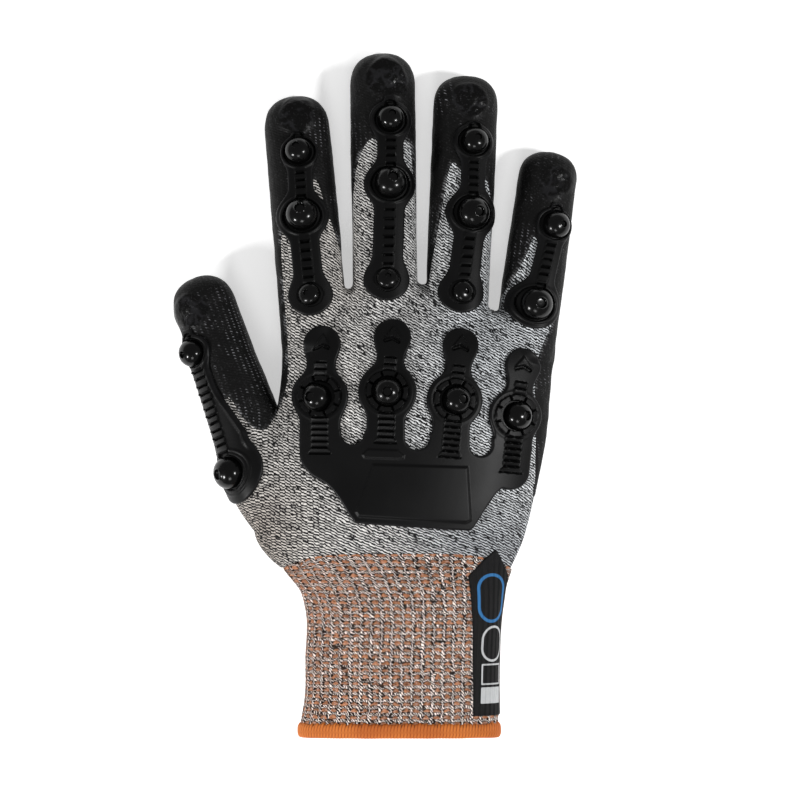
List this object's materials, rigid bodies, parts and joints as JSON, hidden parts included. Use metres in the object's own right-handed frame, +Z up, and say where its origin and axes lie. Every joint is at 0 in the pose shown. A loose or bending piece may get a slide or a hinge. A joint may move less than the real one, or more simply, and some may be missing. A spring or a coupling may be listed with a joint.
{
  "type": "impact resistant coated glove",
  "caption": "Right-hand knitted work glove with a dipped palm and fingertips, moulded impact guards on the back, a ribbed cuff and a rolled hem.",
  "frame": {"origin": "centre of the glove's bounding box in plan, on the surface that it lies on", "axes": "+Y from the cuff to the fingertips, +Z up out of the back of the hand, -X towards the thumb"},
  "size_m": [0.1497, 0.2546, 0.0419],
  "materials": {
    "hand_knit": "grey melange plain knit, light stitches on black gaps",
    "cuff_knit": "grey rib knit with rows of orange stitches",
    "hem_yarn": "orange overlocked edge",
    "coating": "black dipped coating, satin with glossy wrinkles",
    "guard": "black moulded rubber, satin with glossy domes",
    "label": "black woven label with plain printed shapes"
  },
  "bodies": {
    "root": {"knit_hand": "hand_knit", "knit_thumb": "hand_knit", "knit_index": "hand_knit", "knit_middle": "hand_knit", "knit_ring": "hand_knit", "knit_little": "hand_knit", "coating_hand": "coating", "coating_thumb": "coating", "coating_index": "coating", "coating_middle": "coating", "coating_ring": "coating", "coating_little": "coating", "knit_cuff": "cuff_knit", "cuff_hem": "hem_yarn", "cuff_label": "label", "knuckle_guard": "guard", "thumb_guard": "guard", "index_guard": "guard", "middle_guard": "guard", "ring_guard": "guard", "little_guard": "guard"}
  },
  "joints": []
}
